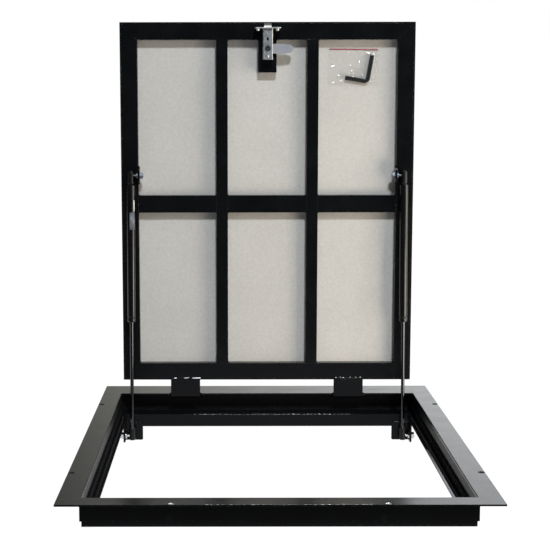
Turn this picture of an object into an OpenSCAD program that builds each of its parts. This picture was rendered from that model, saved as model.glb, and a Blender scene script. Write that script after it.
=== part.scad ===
// Floor access hatch with a board-filled steel lid on gooseneck hinges.
// Two gas struts hold the lid up and a tubular latch holds it shut.
// Millimetres. X is across the hatch, Y runs from the latch side to the
// hinge side, Z is up. The origin is the middle of the frame, on the
// underside of the flange that lies on the floor.

/* [Frame] */
// Clear width between the side walls of the frame
opening_w = 660; // [560:5:800]
// Clear length between the front and rear walls of the frame
frame_l = 848; // [780:2:1020]
// Leg of the steel angle that the frame is welded from
frame_leg = 40; // [34:1:50]
// Wall thickness of the frame angle
frame_t = 3; // [2.5:0.5:4]
// Depth of the flat strip that covers the hinges
strip_w = 40; // [36:1:46]
// Diameter of the screw holes in the flange
screw_hole_d = 10; // [6:0.5:11]
// Distance from a screw hole's centre to the flange's outer edge
screw_edge = 6.5; // [6:0.5:14]
// Distance between the two holes of each side
side_hole_pitch = 544; // [300:2:640]
// Distance between the two holes of each end
end_hole_pitch = 356; // [200:2:480]

/* [Seat] */
// Width of the shelf that the lid closes on
seat_w = 15; // [13:0.5:18]
// Height of the seat angle's upright leg
seat_h = 25; // [20:1:32]
// Thickness of the seat angle
seat_t = 4; // [3:0.5:5]
// Depth of the cross rail under the lid's hinge side
rear_seat_w = 19; // [14:0.5:20]
// Height of that cross rail's face
rear_seat_h = 27; // [22:1:40]
// Thickness of the trough sheet between that rail and the rear wall
trough_t = 3; // [2:0.5:3.5]
// Height of the rubber seal
seal_h = 5.7; // [4:0.1:6.5]

/* [Lid] */
// Gap between the lid and the frame
lid_gap = 6; // [5:0.5:9]
// Height of the lid's rim
lid_h = 40; // [36:1:48]
// Thickness of the rim's flat bar
rim_t = 3; // [2:0.5:4]
// Width of the edge tubes, seen from below
edge_tube_w = 35; // [30:1:45]
// Height of all the tubes that carry the board
tube_h = 20; // [16:1:24]
// Wall thickness of those tubes
tube_wall = 2; // [1.5:0.5:3]
// Width of the two long stiffeners
stiffener_w = 25; // [18:1:35]
// Distance between the centres of the stiffeners
stiffener_pitch = 200; // [150:5:260]
// Width of the cross bars
crossbar_w = 38; // [25:1:50]
// Thickness of the board
board_t = 12; // [8:1:15]

/* [Hinge] */
// Distance between the middles of the two hinges
hinge_pitch = 368; // [300:2:440]
// Width of a hinge arm
arm_w = 66; // [40:1:80]
// Thickness of a hinge arm
arm_t = 4; // [3:0.5:5]
// Diameter of the hinge pin
pin_d = 6; // [5:0.5:6.5]
// Outer diameter of the barrel round the pin
barrel_d = 10; // [9:0.5:10.5]

/* [Gas struts] */
// Outer diameter of the strut's tube
strut_tube_d = 18; // [15:0.5:18.5]
// Length of the strut's tube
strut_tube_l = 305; // [240:5:330]
// Diameter of the strut's rod
strut_rod_d = 8; // [6:0.5:10]
// Diameter of the ball on each ball stud
ball_d = 10; // [8:0.5:10]
// Distance of a strut from the frame's side wall
strut_inset = 28; // [27:0.5:30]

/* [Latch] */
// Distance from the faceplate to the hub
backset = 45; // [40:1:60]
// Distance from the hub to the rear end of the latch case
case_rear = 24; // [22:0.5:30]
// Width of the latch case
case_w = 22; // [20:0.5:26]
// Length of the faceplate
faceplate_l = 57; // [50:1:70]
// Travel of the latch bolt
bolt_travel = 9; // [6:0.5:9]
// Length of the release lever from the hub
lever_l = 56; // [40:1:75]

/* [Hex key] */
// Size of the hex key across its flats
key_af = 8; // [5:1:8]
// Length of the key's long leg
key_long = 58; // [40:1:62]
// Length of the key's short leg
key_short = 50; // [30:1:60]

/* [Hidden] */

// Angle that the lid stands open at
lid_angle = 90;
// A small amount by which cutters pass through what they cut
eps = 0.1;
// Facets of round shapes that are kept true
$fn = 48;

// Frame
frame_top = frame_t;
inner_x = opening_w / 2;
inner_y = frame_l / 2;
outer_w = opening_w + 2 * frame_leg;
outer_l = frame_l + 2 * frame_leg;
strip_y = inner_y - strip_w;
side_hole_x = outer_w / 2 - screw_edge;
end_hole_y = outer_l / 2 - screw_edge;

// Lid when it is shut
lid_w = opening_w - 2 * lid_gap;
lid_front = -inner_y + lid_gap;
lid_rear = strip_y - lid_gap;
lid_l = lid_rear - lid_front;
lid_mid_y = (lid_front + lid_rear) / 2;
lid_top = frame_top;
lid_under = lid_top - lid_h;
board_under = lid_under + tube_h;
grid_w = lid_w - 2 * rim_t;
grid_l = lid_l - 2 * rim_t;
cell_x = grid_w / 2 - edge_tube_w;
stiffener_x = stiffener_pitch / 2;

// Seat: the seal's top just meets the shut lid
seal_gap = 0.3;
shelf_top = lid_under - seal_gap - seal_h;
shelf_bottom = shelf_top - seat_t;
rear_seat_top = lid_under - 1;
rear_seat_front = lid_rear - 9 - rear_seat_w;
trough_clear = 2;
trough_top = lid_under - arm_t - trough_clear;
seal_w = 7;
seal_inset = seat_t + 2.5;

// Hinge
hinge_x = hinge_pitch / 2;
barrel_clear = 1;
hinge_y = inner_y - barrel_clear - barrel_d / 2;
hinge_z = -barrel_clear - barrel_d / 2;
arm_lap = 3;
arm_bend_r = 2;
lug_t = 5;
lug_gap = 0.5;
pin_clear = 0.2;
notch_side = 3;
notch_depth = 6;

// Struts
strut_x = inner_x - strut_inset;
upper_ball_y = -84;
upper_ball_z = lid_under - 11;
lower_ball_y = rear_seat_front - 17;
lower_ball_z = -82;
ball_clear = 0.3;
socket_d = 14;
socket_l = 30;
socket_end = 10;
neck_d = 5;
collar_d = 13;
stud_d = 8;
nut_af = 13;
nut_t = 6.5;
bracket_t = 4;
bracket_face_w = 42;
bracket_side_w = 28;
bracket_h = 40;
bracket_top = -55;
bracket_x = inner_x - 9;
strut_lug_t = 4;
strut_lug_l = 38;
strut_lug_lap = 8;
neck_split_x = strut_x - socket_d / 2 - 0.3;
strut_wall = 1.2;
piston_l = 12;
thread_l = 12;

// Latch
faceplate_t = 2;
faceplate_w = 25;
faceplate_front = lid_front + 13;
case_t = 1.5;
case_l = backset + case_rear;
case_h = 13;
case_drop = 11;
case_top = lid_under - case_drop;
case_mid_z = case_top - case_h / 2;
bolt_reach = 10;
bolt_w = 16;
bolt_h = case_h - 2 * case_t - 0.6;
bolt_clear = 0.3;
hub_y = faceplate_front + backset;
hub_d = 13;
hub_hex = key_af + 0.2;
bolt_shoulder = faceplate_front + 12;
tail_t = 3;
tail_low = -case_h / 2 + case_t + 0.4;
nose_r = case_w / 2 - case_t - 0.3;
nose_w = 3;
nose_lead = 32.5;
nose_gap = 0.3;
running_fit = 0.1;
spring_stop_y = hub_y - hub_d / 2 - 1.5;
lever_t = 5;
lever_w = 21;
lever_top = case_top + 0.8 + lever_t;
latch_box_w = 40;
latch_box_l = 71;
key_hole_d = 14;

// Key bag, measured on the lid's underside
bag_x = 189;
bag_y = lid_mid_y - 300;
bag_w = 112;
bag_l = 83;
bag_t = 11;
bag_film = 0.8;
key_x = bag_x + 32;
key_y = bag_y + 31;

steel_black = "#26282b";
zinc = "#b9bcc0";
rubber = "#141414";
strut_black = "#1a1b1d";
chrome = "#d9dbde";

// Turns the shut lid and all that it carries to the angle it stands open at
module on_lid() {
    translate([0, hinge_y, hinge_z]) rotate([-lid_angle, 0, 0])
        translate([0, -hinge_y, -hinge_z]) children();
}

// Where a point of the shut lid lies once the lid is open
function opened(y, z) = [
    hinge_y + (y - hinge_y) * cos(lid_angle) + (z - hinge_z) * sin(lid_angle),
    hinge_z - (y - hinge_y) * sin(lid_angle) + (z - hinge_z) * cos(lid_angle)
];

strut_top = opened(upper_ball_y, upper_ball_z);
strut_dy = strut_top[0] - lower_ball_y;
strut_dz = strut_top[1] - lower_ball_z;
strut_l = sqrt(strut_dy * strut_dy + strut_dz * strut_dz);
strut_tilt = atan2(-strut_dy, strut_dz);
tube_top = strut_l - (socket_l - socket_end);
tube_mouth = tube_top - strut_tube_l;
rod_top = tube_mouth + 45;

// Mirrors a right-hand part to the left
module left() {
    mirror([1, 0, 0]) children();
}

// Mirrors a front part to the rear
module rear() {
    mirror([0, 1, 0]) children();
}

// Extrudes an outline drawn in Y and Z along X, centred
module along_x(length) {
    rotate([90, 0, 90]) linear_extrude(length, center = true) children();
}

// Extrudes an outline drawn in X and Z along Y, centred
module along_y(length) {
    rotate([90, 0, 0]) linear_extrude(length, center = true) children();
}

// Plan of the front member of a mitred rectangular ring, w by l outside
module front_plan(w, l, member) {
    polygon([
        [-w / 2, -l / 2], [w / 2, -l / 2],
        [w / 2 - member, -l / 2 + member], [-w / 2 + member, -l / 2 + member]
    ]);
}

// Plan of the right member of the same ring
module right_plan(w, l, member) {
    polygon([
        [w / 2, -l / 2], [w / 2, l / 2],
        [w / 2 - member, l / 2 - member], [w / 2 - member, -l / 2 + member]
    ]);
}

// Keeps what lies over a plan between two heights
module keep(z0, z1) {
    intersection() {
        children(0);
        translate([0, 0, z0]) linear_extrude(z1 - z0) children(1);
    }
}

// Steel angle section: outer corner at the origin, legs along +X and -Y
module angle_section(leg_x, leg_y, t) {
    root = t / 2;
    square_at([0, -t], [leg_x, t]);
    square_at([0, -leg_y], [t, leg_y]);
    difference() {
        square_at([t - eps, -t - root], [root + eps, root + eps]);
        translate([t + root, -t - root]) circle(root);
    }
}

module square_at(corner, size) {
    translate(corner) square(size);
}

// Block from its lowest to its highest corner
module block(low, high) {
    translate(low) cube(high - low);
}

// Rounded plate in plan, exact arcs at its corners
module rounded_rect(w, l, r) {
    square([w, l - 2 * r], center = true);
    square([w - 2 * r, l], center = true);
    for (sx = [-1, 1], sy = [-1, 1])
        translate([sx * (w / 2 - r), sy * (l / 2 - r)]) circle(r);
}

// Holes through the flange at both ends of a pitch
module screw_holes(points) {
    for (p = points)
        translate([p[0], p[1], -eps]) cylinder(h = frame_t + 2 * eps, d = screw_hole_d);
}

module frame_end() {
    difference() {
        keep(frame_top - frame_leg - eps, frame_top + eps) {
            translate([0, -inner_y, frame_top]) along_x(outer_w)
                mirror([1, 0]) angle_section(frame_leg, frame_leg, frame_t);
            front_plan(outer_w, outer_l, frame_leg);
        }
        screw_holes([for (s = [-1, 1]) [s * end_hole_pitch / 2, -end_hole_y]]);
    }
}

module frame_side() {
    difference() {
        keep(frame_top - frame_leg - eps, frame_top + eps) {
            translate([inner_x, 0, frame_top]) along_y(outer_l)
                angle_section(frame_leg, frame_leg, frame_t);
            right_plan(outer_w, outer_l, frame_leg);
        }
        screw_holes([for (s = [-1, 1]) [side_hole_x, s * side_hole_pitch / 2]]);
    }
}

module frame_front() {
    color(steel_black) frame_end();
}

module frame_rear() {
    color(steel_black) rear() frame_end();
}

module frame_right() {
    color(steel_black) frame_side();
}

module frame_left() {
    color(steel_black) left() frame_side();
}

// Flat strip over the hinges, notched where the arms rise past its edge
module rear_strip() {
    notch_w = arm_w + 2 * notch_side;
    color(steel_black) difference() {
        block([-inner_x, strip_y, 0], [inner_x, inner_y, frame_t]);
        for (s = [-1, 1])
            block([s * hinge_x - notch_w / 2, strip_y - eps, -eps],
                  [s * hinge_x + notch_w / 2, strip_y + notch_depth, frame_t + eps]);
    }
}

// Seat angle, its upright leg welded inside the frame's wall
module seat_section() {
    translate([0, shelf_bottom]) mirror([0, 1]) angle_section(seat_w, seat_h, seat_t);
}

module seat_front() {
    color(steel_black) keep(shelf_bottom - eps, shelf_bottom + seat_h + eps) {
        translate([0, -inner_y, 0]) along_x(opening_w) seat_section();
        front_plan(opening_w, frame_l, seat_w);
    }
}

// The shelf stops at the rear cross rail, the upright leg runs on
module seat_side() {
    difference() {
        keep(shelf_bottom - eps, shelf_bottom + seat_h + eps) {
            translate([inner_x, 0, 0]) along_y(frame_l) mirror([1, 0]) seat_section();
            polygon([
                [inner_x, -inner_y], [inner_x, inner_y], [inner_x - seat_w, inner_y],
                [inner_x - seat_w, -inner_y + seat_w]
            ]);
        }
        block([inner_x - seat_w - eps, rear_seat_front, shelf_bottom - eps],
              [inner_x - seat_t, inner_y + eps, shelf_bottom + seat_h + eps]);
    }
}

module seat_right() {
    color(steel_black) seat_side();
}

module seat_left() {
    color(steel_black) left() seat_side();
}

// Cross rail under the lid's hinge side, with the trough that closes the hinge
// recess from below: it hangs from the rail and rises to the rear wall's edge
module seat_rear() {
    rail_back = rear_seat_front + rear_seat_w;
    trough_low = trough_top - trough_t;
    wall_low = frame_top - frame_leg;
    color(steel_black) along_x(opening_w - 2 * seat_t) {
        translate([rear_seat_front, rear_seat_top])
            angle_section(rear_seat_w, rear_seat_h, seat_t);
        square_at([rail_back - trough_t, trough_low], [trough_t, rear_seat_top - trough_low]);
        square_at([rail_back - trough_t, trough_low],
                  [inner_y + frame_t - rail_back + trough_t, trough_t]);
        square_at([inner_y, trough_low], [frame_t, wall_low - trough_low]);
    }
}

// Rubber bulb seal on the shelf: a flat foot with a round bead
module seal_section() {
    bead = seal_w / 2;
    square_at([0, 0], [seal_w, seal_h - bead]);
    difference() {
        translate([bead, seal_h - bead]) circle(bead);
        translate([bead, seal_h - bead]) circle(bead * 0.3);
    }
}

seal_end_y = rear_seat_front - 1;

module seal_front() {
    color(rubber) keep(shelf_top, lid_under) {
        translate([0, -inner_y + seal_inset, shelf_top]) along_x(opening_w) seal_section();
        front_plan(opening_w - 2 * seal_inset, frame_l - 2 * seal_inset, seal_w);
    }
}

module seal_side() {
    keep(shelf_top, lid_under) {
        translate([inner_x - seal_inset, 0, shelf_top]) along_y(frame_l)
            mirror([1, 0]) seal_section();
        polygon([
            [inner_x - seal_inset, -inner_y + seal_inset],
            [inner_x - seal_inset, seal_end_y],
            [inner_x - seal_inset - seal_w, seal_end_y],
            [inner_x - seal_inset - seal_w, -inner_y + seal_inset + seal_w]
        ]);
    }
}

module seal_right() {
    color(rubber) seal_side();
}

module seal_left() {
    color(rubber) left() seal_side();
}

// Lugs on both sides of a hinge barrel, welded into the corner of strip and wall
module hinge_lugs_right() {
    lug_low = hinge_z - barrel_d / 2 - barrel_clear;
    nose = barrel_d / 2 + barrel_clear;
    color(steel_black) for (s = [-1, 1])
        translate([hinge_x + s * (arm_w / 2 + lug_gap + lug_t / 2), 0, 0])
            along_x(lug_t) difference() {
                union() {
                    square_at([hinge_y, lug_low], [inner_y - hinge_y, -lug_low]);
                    square_at([hinge_y - nose, hinge_z], [nose + eps, -hinge_z]);
                    translate([hinge_y, hinge_z]) circle(nose);
                }
                translate([hinge_y, hinge_z]) circle(d = pin_d + running_fit);
            }
}

module hinge_lugs_left() {
    left() hinge_lugs_right();
}

// Hinge pin with a head at its outer end and a riveted inner end
module hinge_pin_right() {
    pin_l = arm_w + 2 * (lug_gap + lug_t);
    head_t = 1.5;
    head_d = pin_d + 3;
    color(zinc) translate([hinge_x, hinge_y, hinge_z]) rotate([0, 90, 0]) {
        cylinder(h = pin_l, d = pin_d, center = true);
        translate([0, 0, pin_l / 2]) cylinder(h = head_t, d = head_d);
        translate([0, 0, -pin_l / 2 - head_t]) cylinder(h = head_t, d1 = pin_d, d2 = head_d - 1);
    }
}

module hinge_pin_left() {
    left() hinge_pin_right();
}

// Gooseneck arm: welded under the lid's edge, bent up round the strip to its barrel
module hinge_arm_right() {
    plate_top = lid_under - hinge_z;
    plate_low = plate_top - arm_t;
    bend_out = arm_bend_r + arm_t;
    reach = lid_rear - arm_lap - hinge_y;
    color(steel_black) on_lid() translate([hinge_x, hinge_y, hinge_z]) along_x(arm_w)
        difference() {
            union() {
                difference() {
                    union() {
                        square_at([reach, plate_low], [arm_t / 2 - reach, arm_t]);
                        square_at([-arm_t / 2, plate_low], [arm_t, -plate_low]);
                    }
                    difference() {
                        square_at([arm_t / 2 - bend_out, plate_low - eps],
                                  [bend_out + eps, bend_out + eps]);
                        translate([arm_t / 2 - bend_out, plate_low + bend_out]) circle(bend_out);
                    }
                }
                difference() {
                    square_at([-arm_t / 2 - arm_bend_r, plate_top - eps],
                              [arm_bend_r + eps, arm_bend_r + eps]);
                    translate([-arm_t / 2 - arm_bend_r, plate_top + arm_bend_r]) circle(arm_bend_r);
                }
                circle(d = barrel_d);
            }
            circle(d = pin_d + pin_clear);
        }
}

module hinge_arm_left() {
    left() hinge_arm_right();
}

// Short angle welded to the cross rail; its side leg carries the lower ball stud
module strut_bracket_right() {
    corner_r = 3;
    color(steel_black) difference() {
        translate([bracket_x, rear_seat_front, bracket_top - bracket_h])
            linear_extrude(bracket_h) mirror([1, 0])
                angle_section(bracket_face_w, bracket_side_w, bracket_t);
        translate([bracket_x + eps, lower_ball_y, lower_ball_z]) rotate([0, -90, 0])
            cylinder(h = bracket_t + 2 * eps, d = stud_d);
        translate([bracket_x - bracket_face_w, rear_seat_front + eps, bracket_top - bracket_h])
            rotate([90, 0, 0]) linear_extrude(bracket_t + 2 * eps) difference() {
                square_at([-eps, -eps], [corner_r + eps, corner_r + eps]);
                translate([corner_r, corner_r]) circle(corner_r);
            }
    }
}

module strut_bracket_left() {
    left() strut_bracket_right();
}

// Hexagon nut on an axis along X, from x to x + nut_t
module side_nut(x, y, z) {
    color(zinc) translate([x, y, z]) rotate([0, 90, 0]) difference() {
        intersection() {
            cylinder(h = nut_t, d = nut_af / cos(30), $fn = 6);
            translate([0, 0, -0.6]) cylinder(h = nut_t + 3, d1 = nut_af + 8, d2 = nut_af - 1);
        }
        translate([0, 0, -eps]) cylinder(h = nut_t + 2 * eps, d = stud_d);
    }
}

// Ball stud whose ball is on the strut's line and whose shank points outwards
module lower_ball_stud_right() {
    seat_x = bracket_x - bracket_t;
    collar_t = 3.5;
    color(zinc) translate([0, lower_ball_y, lower_ball_z]) rotate([0, 90, 0]) {
        translate([0, 0, strut_x]) sphere(d = ball_d);
        translate([0, 0, strut_x]) cylinder(h = seat_x - strut_x, d = neck_d);
        translate([0, 0, seat_x - collar_t]) cylinder(h = collar_t, d = collar_d);
        translate([0, 0, seat_x]) cylinder(h = bracket_t + nut_t + 1, d = stud_d);
    }
}

module lower_ball_stud_left() {
    left() lower_ball_stud_right();
}

module lower_stud_nut_right() {
    side_nut(bracket_x, lower_ball_y, lower_ball_z);
}

module lower_stud_nut_left() {
    left() lower_stud_nut_right();
}

// The strut's own line: the lower ball is at the origin, the strut rises along +Z
module on_strut() {
    translate([strut_x, lower_ball_y, lower_ball_z]) rotate([strut_tilt, 0, 0]) children();
}

// Socket of a strut: a round body with a hollow for the ball, open to one side
module ball_socket(open_side) {
    shoulder = 3;
    tip_r = socket_d / 2 - 1.5;
    top = socket_l - socket_end;
    difference() {
        rotate_extrude() polygon([
            [0, -socket_end], [tip_r, -socket_end], [socket_d / 2, shoulder - socket_end],
            [socket_d / 2, top - shoulder], [tip_r, top], [0, top]
        ]);
        rotate([0, open_side * 90, 0]) rotate_extrude() {
            intersection() {
                circle(d = ball_d + 2 * ball_clear);
                square_at([0, -socket_d], [socket_d, 2 * socket_d]);
            }
            square_at([0, 0], [ball_d / 2 - 0.5, socket_d]);
        }
    }
}

module strut_rod_end_right() {
    color(strut_black) on_strut() difference() {
        ball_socket(1);
        translate([0, 0, socket_l - socket_end - thread_l])
            cylinder(h = thread_l + eps, d = strut_rod_d - 2);
    }
}

module strut_rod_end_left() {
    left() strut_rod_end_right();
}

// Polished rod: threaded into its socket below, with its piston inside the tube
module strut_rod_right() {
    foot = socket_l - socket_end;
    color(chrome) on_strut() {
        translate([0, 0, foot - thread_l]) cylinder(h = thread_l + eps, d = strut_rod_d - 2);
        translate([0, 0, foot]) cylinder(h = rod_top - foot, d = strut_rod_d);
        translate([0, 0, rod_top - piston_l])
            cylinder(h = piston_l, d = strut_tube_d - 2 * strut_wall - 0.6);
    }
}

module strut_rod_left() {
    left() strut_rod_right();
}

// Pressure tube, open inside, with its rod guide held at the mouth by a rolled groove
module strut_tube_right() {
    guide_l = 16;
    chamfer = 2;
    groove_z = 10;
    groove_depth = 1;
    color(strut_black) on_strut() translate([0, 0, tube_mouth]) rotate_extrude()
        polygon([
            [strut_rod_d / 2 + ball_clear, 0],
            [strut_tube_d / 2 - chamfer, 0],
            [strut_tube_d / 2, chamfer],
            [strut_tube_d / 2, groove_z - 2],
            [strut_tube_d / 2 - groove_depth, groove_z - 0.6],
            [strut_tube_d / 2 - groove_depth, groove_z + 0.6],
            [strut_tube_d / 2, groove_z + 2],
            [strut_tube_d / 2, strut_tube_l - chamfer],
            [strut_tube_d / 2 - chamfer, strut_tube_l],
            [0, strut_tube_l],
            [0, strut_tube_l - 4],
            [strut_tube_d / 2 - strut_wall, strut_tube_l - 4],
            [strut_tube_d / 2 - strut_wall, guide_l],
            [strut_rod_d / 2 + ball_clear, guide_l]
        ]);
}

module strut_tube_left() {
    left() strut_tube_right();
}

module strut_tube_end_right() {
    color(strut_black) on_strut() translate([0, 0, strut_l]) mirror([0, 0, 1]) ball_socket(-1);
}

module strut_tube_end_left() {
    left() strut_tube_end_right();
}

// Ball held in the strut's upper socket, with the part of its neck inside the socket
module upper_ball_right() {
    color(zinc) on_strut() translate([0, 0, strut_l]) rotate([0, -90, 0]) {
        sphere(d = ball_d);
        cylinder(h = strut_x - neck_split_x - 0.3, d = neck_d);
    }
}

module upper_ball_left() {
    left() upper_ball_right();
}

// Neck, collar and shank of the upper ball stud, screwed to the lid's lug
module upper_ball_stud_right() {
    seat_x = cell_x;
    collar_t = 3.5;
    color(zinc) on_lid() translate([0, upper_ball_y, upper_ball_z]) rotate([0, 90, 0]) {
        translate([0, 0, seat_x]) cylinder(h = neck_split_x - seat_x, d = neck_d);
        translate([0, 0, seat_x]) cylinder(h = collar_t, d = collar_d);
        translate([0, 0, seat_x - strut_lug_t - nut_t - 1])
            cylinder(h = strut_lug_t + nut_t + 1 + eps, d = stud_d);
    }
}

module upper_ball_stud_left() {
    left() upper_ball_stud_right();
}

module upper_stud_nut_right() {
    on_lid() mirror([1, 0, 0]) side_nut(-cell_x + strut_lug_t, upper_ball_y, upper_ball_z);
}

module upper_stud_nut_left() {
    left() upper_stud_nut_right();
}

// Lug welded to the inner face of the lid's side tube
module strut_lug_right() {
    corner_r = 8;
    low = upper_ball_z - 9;
    high = lid_under + strut_lug_lap;
    color(steel_black) on_lid() translate([cell_x - strut_lug_t / 2, 0, 0]) along_x(strut_lug_t)
        difference() {
            union() {
                square_at([upper_ball_y - strut_lug_l / 2, low + corner_r],
                          [strut_lug_l, high - low - corner_r]);
                square_at([upper_ball_y - strut_lug_l / 2 + corner_r, low],
                          [strut_lug_l - 2 * corner_r, corner_r + eps]);
                for (s = [-1, 1])
                    translate([upper_ball_y + s * (strut_lug_l / 2 - corner_r), low + corner_r])
                        circle(corner_r);
            }
            translate([upper_ball_y, upper_ball_z]) circle(d = stud_d);
        }
}

module strut_lug_left() {
    left() strut_lug_right();
}

// Flat-bar rim that the board and a floor finish lie inside
module rim_bar(high_side) {
    if (high_side)
        block([lid_w / 2 - rim_t, lid_front, lid_under], [lid_w / 2, lid_rear, lid_top]);
    else
        block([-lid_w / 2 + rim_t, lid_front, lid_under],
              [lid_w / 2 - rim_t, lid_front + rim_t, lid_top]);
}

module lid_rim_sides() {
    color(steel_black) on_lid() {
        rim_bar(true);
        left() rim_bar(true);
    }
}

module lid_rim_ends() {
    color(steel_black) on_lid() {
        rim_bar(false);
        translate([0, lid_l - rim_t, 0]) rim_bar(false);
    }
}

// Rectangular tube section, w wide and tube_h high, with its underside at zero
module tube_section(w) {
    difference() {
        square_at([0, 0], [w, tube_h]);
        square_at([tube_wall, tube_wall], [w - 2 * tube_wall, tube_h - 2 * tube_wall]);
    }
}

module on_grid() {
    on_lid() translate([0, lid_mid_y, lid_under]) children();
}

module edge_tube_end() {
    keep(-eps, tube_h + eps) {
        translate([0, -grid_l / 2, 0]) along_x(grid_w) tube_section(edge_tube_w);
        front_plan(grid_w, grid_l, edge_tube_w);
    }
}

module edge_tube_side() {
    keep(-eps, tube_h + eps) {
        translate([grid_w / 2 - edge_tube_w, 0, 0]) along_y(grid_l) tube_section(edge_tube_w);
        right_plan(grid_w, grid_l, edge_tube_w);
    }
}

module lid_tube_front() {
    color(steel_black) on_grid() edge_tube_end();
}

module lid_tube_rear() {
    color(steel_black) on_grid() rear() edge_tube_end();
}

module lid_tube_right() {
    color(steel_black) on_grid() edge_tube_side();
}

module lid_tube_left() {
    color(steel_black) on_grid() left() edge_tube_side();
}

module stiffener_right() {
    color(steel_black) on_grid() translate([stiffener_x - stiffener_w / 2, 0, 0])
        along_y(grid_l - 2 * edge_tube_w) tube_section(stiffener_w);
}

module stiffener_left() {
    left() stiffener_right();
}

// Three short cross bars at the middle of the lid, between the long members
module crossbars() {
    inner = 2 * stiffener_x - stiffener_w;
    outer = cell_x - stiffener_x - stiffener_w / 2;
    outer_x = cell_x - outer / 2;
    color(steel_black) on_grid() for (bar = [[-outer_x, outer], [0, inner], [outer_x, outer]])
        translate([bar[0], -crossbar_w / 2, 0]) along_x(bar[1]) tube_section(crossbar_w);
}

// Cement-bonded board inside the rim, with the key's hole
module lid_board() {
    fit = 0.3;
    color("#c4c0b8") on_lid() difference() {
        block([-grid_w / 2 + fit, lid_front + rim_t + fit, board_under],
              [grid_w / 2 - fit, lid_rear - rim_t - fit, board_under + board_t]);
        translate([0, hub_y, board_under - eps]) cylinder(h = board_t + 2 * eps, d = key_hole_d);
    }
}

// Tube that carries the latch, butted against the front edge tube
module latch_box() {
    start = lid_front + rim_t + edge_tube_w;
    color(steel_black) on_lid() difference() {
        block([-latch_box_w / 2, start, lid_under],
              [latch_box_w / 2, start + latch_box_l, lid_under + tube_h]);
        block([-latch_box_w / 2 + tube_wall, start - eps, lid_under + tube_wall],
              [latch_box_w / 2 - tube_wall, start + latch_box_l - tube_wall,
               lid_under + tube_h - tube_wall]);
        translate([0, hub_y, lid_under - eps]) cylinder(h = tube_h + 2 * eps, d = key_hole_d + 2);
    }
}

// Folded case of the tubular latch: a screw slot and a rivet in its face, and
// a stop for the spring inside
module latch_case() {
    front = faceplate_front + faceplate_t;
    back = faceplate_front + case_l;
    low = case_top - case_h;
    inner_w = case_w / 2 - case_t;
    corner_r = 2;
    stop_t = 1;
    slot_w = 3.5;
    rivet_d = 5;
    color(zinc) on_lid() difference() {
        union() {
            difference() {
                translate([0, (front + back) / 2, case_mid_z]) along_y(back - front)
                    rounded_rect(case_w, case_h, corner_r);
                block([-inner_w, front - eps, low + case_t],
                      [inner_w, back - case_t, case_top - case_t]);
            }
            block([-inner_w - eps, spring_stop_y, case_mid_z + tail_low + tail_t + 1],
                  [inner_w + eps, spring_stop_y + stop_t, case_top - case_t + eps]);
            translate([0, hub_y + 17, low]) mirror([0, 0, 1])
                cylinder(h = 1, d1 = rivet_d, d2 = rivet_d - 2);
        }
        translate([0, hub_y, low - eps])
            cylinder(h = case_h + 2 * eps, d = hub_d + running_fit);
        translate([0, hub_y - 20, low - eps]) linear_extrude(case_t + 2 * eps)
            slot_outline(slot_w, 2 * slot_w);
    }
}

// Slot along Y, w wide and l long over its round ends
module slot_outline(w, l) {
    square([w, l - w], center = true);
    for (s = [-1, 1]) translate([0, s * (l - w) / 2]) circle(d = w);
}

// Faceplate with dimpled screw holes; its bolt opening is a rounded slot
module latch_faceplate() {
    hole_x = faceplate_l / 2 - 7;
    hole_d = 4;
    dimple = 5;
    dimple_d = 9.5;
    color(zinc) on_lid() translate([0, faceplate_front, case_mid_z]) rotate([-90, 0, 0])
        difference() {
            union() {
                linear_extrude(faceplate_t) rounded_rect(faceplate_l, faceplate_w, 3);
                for (s = [-1, 1]) translate([s * hole_x, 0, faceplate_t])
                    cylinder(h = dimple, d1 = dimple_d, d2 = hole_d + 2);
            }
            translate([0, 0, -eps]) linear_extrude(faceplate_t + 2 * eps)
                square([bolt_w + 2 * bolt_clear, bolt_h + 2 * bolt_clear], center = true);
            for (s = [-1, 1]) translate([s * hole_x, 0, 0]) {
                translate([0, 0, -eps]) cylinder(h = faceplate_t + dimple + 2 * eps, d = hole_d);
                translate([0, 0, -eps]) cylinder(h = dimple, d1 = dimple_d - 1.3, d2 = hole_d);
            }
        }
}

// Two spacers that hold the case off the lid, so that the lever can turn in the gap
module latch_spacers() {
    spacer_x = 6.5;
    spacer_d = 6;
    color(zinc) on_lid() for (s = [-1, 1])
        translate([s * spacer_x, hub_y - 30, case_top])
            cylinder(h = lid_under - case_top, d = spacer_d);
}

// Latch bolt: a bevelled tongue, and a flat tail that the hub's nose draws back
module latch_bolt() {
    tip = faceplate_front - bolt_reach;
    bevel = bolt_reach - 1;
    tail_x = case_w / 2 - case_t - 0.3;
    tail_start = faceplate_front + faceplate_t + 1;
    tail_end = hub_y + hub_d / 2 + 4;
    window_x = hub_d / 2 + 0.3;
    window_front = hub_y - window_x - bolt_travel;
    shoulder_y = hub_y - window_x * tan(nose_lead) + nose_w / 2 / cos(nose_lead) + nose_gap;
    color(zinc) on_lid() translate([0, 0, case_mid_z]) difference() {
        union() {
            along_x(bolt_w) polygon([
                [tip, bolt_h / 2], [bolt_shoulder, bolt_h / 2], [bolt_shoulder, -bolt_h / 2],
                [tip + bevel, -bolt_h / 2], [tip, bolt_h / 2 - 3]
            ]);
            block([-tail_x, tail_start, tail_low], [tail_x, tail_end, tail_low + tail_t]);
        }
        block([-window_x, window_front, tail_low - eps],
              [window_x, hub_y + window_x, tail_low + tail_t + eps]);
        block([0, window_front, tail_low - eps],
              [tail_x + eps, shoulder_y, tail_low + tail_t + eps]);
    }
}

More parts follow.
